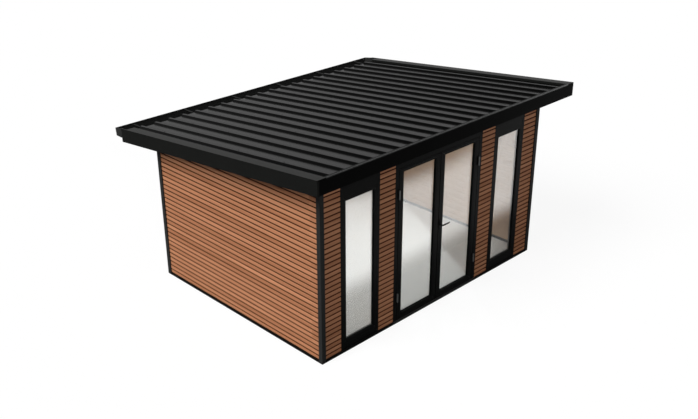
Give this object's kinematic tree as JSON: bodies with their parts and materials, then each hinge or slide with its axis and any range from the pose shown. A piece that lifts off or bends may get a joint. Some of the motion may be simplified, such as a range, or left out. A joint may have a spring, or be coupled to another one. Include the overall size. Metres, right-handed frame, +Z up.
{
  "type": "garden shed",
  "caption": "Garden shed with board cladding, a low ribbed roof that falls to a rear gutter, a glazed outward-opening double door and two tall fixed windows.",
  "frame": {"origin": "centre of the footprint, on the ground under the floor slab", "axes": "+X to the right of someone facing the doors, +Y from the doors to the rear, +Z up"},
  "size_m": [4.586, 3.822, 2.48],
  "materials": {
    "concrete": "matt",
    "floor_pale": "matt",
    "frame_black": "satin powder coat",
    "sheet_black": "satin coat",
    "post_black": "satin",
    "core": "matt",
    "board": "brushed, matt",
    "lining_tan": "satin",
    "ceiling_white": "matt",
    "skirting_dark": "satin",
    "glass": "clear",
    "hinge_metal": "satin",
    "handle_black": "satin",
    "batten": "raw",
    "gutter_black": "satin"
  },
  "bodies": {
    "shed": {"floor_slab": "concrete", "floor_covering": "floor_pale", "base_rails": "frame_black", "door_threshold": "frame_black", "corner_posts": "post_black", "wall_left": "core", "wall_right": "core", "wall_rear": "core", "front_piers": "core", "front_header": "core", "cladding_left": "board", "cladding_right": "board", "cladding_rear": "board", "cladding_front_piers": "board", "cladding_front_header": "board", "lining_left": "lining_tan", "lining_right": "lining_tan", "lining_rear": "lining_tan", "lining_front_piers": "lining_tan", "lining_front_header": "lining_tan", "skirting": "skirting_dark", "ceiling": "ceiling_white", "window_left_frame": "frame_black", "window_left_glass": "glass", "window_right_frame": "frame_black", "window_right_glass": "glass", "door_frame": "frame_black", "hinge_pins": "hinge_metal", "roof_deck": "batten", "roof_sheet": "sheet_black", "eaves_battens": "batten", "soffit_sides": "frame_black", "soffit_ends": "frame_black", "fascia_left": "frame_black", "fascia_right": "frame_black", "fascia_front": "frame_black", "fascia_rear": "frame_black", "gutter": "gutter_black"},
    "left_door": {"door_left_leaf": "frame_black", "door_left_glass": "glass", "hinge_left_knuckles": "hinge_metal"},
    "right_door": {"door_right_leaf": "frame_black", "door_right_glass": "glass", "hinge_right_knuckles": "hinge_metal", "lock_plates": "handle_black"},
    "lever": {"lever_handle": "handle_black"}
  },
  "joints": [
    {"name": "left_door_hinge", "type": "hinge", "parent": "shed", "child": "left_door", "pos_m": [-0.7385, -1.53, 1.05], "axis": [0, 0, -1], "range_deg": [0, 100]},
    {"name": "right_door_hinge", "type": "hinge", "parent": "shed", "child": "right_door", "pos_m": [0.7385, -1.53, 1.05], "axis": [0, 0, 1], "range_deg": [0, 100]},
    {"name": "lever_turn", "type": "hinge", "parent": "right_door", "child": "lever", "pos_m": [0.035, -1.53, 1.085], "axis": [0, 1, 0], "range_deg": [0, 40], "stiffness_Nm_per_rad": 1, "springref_deg": -34.38}
  ]
}
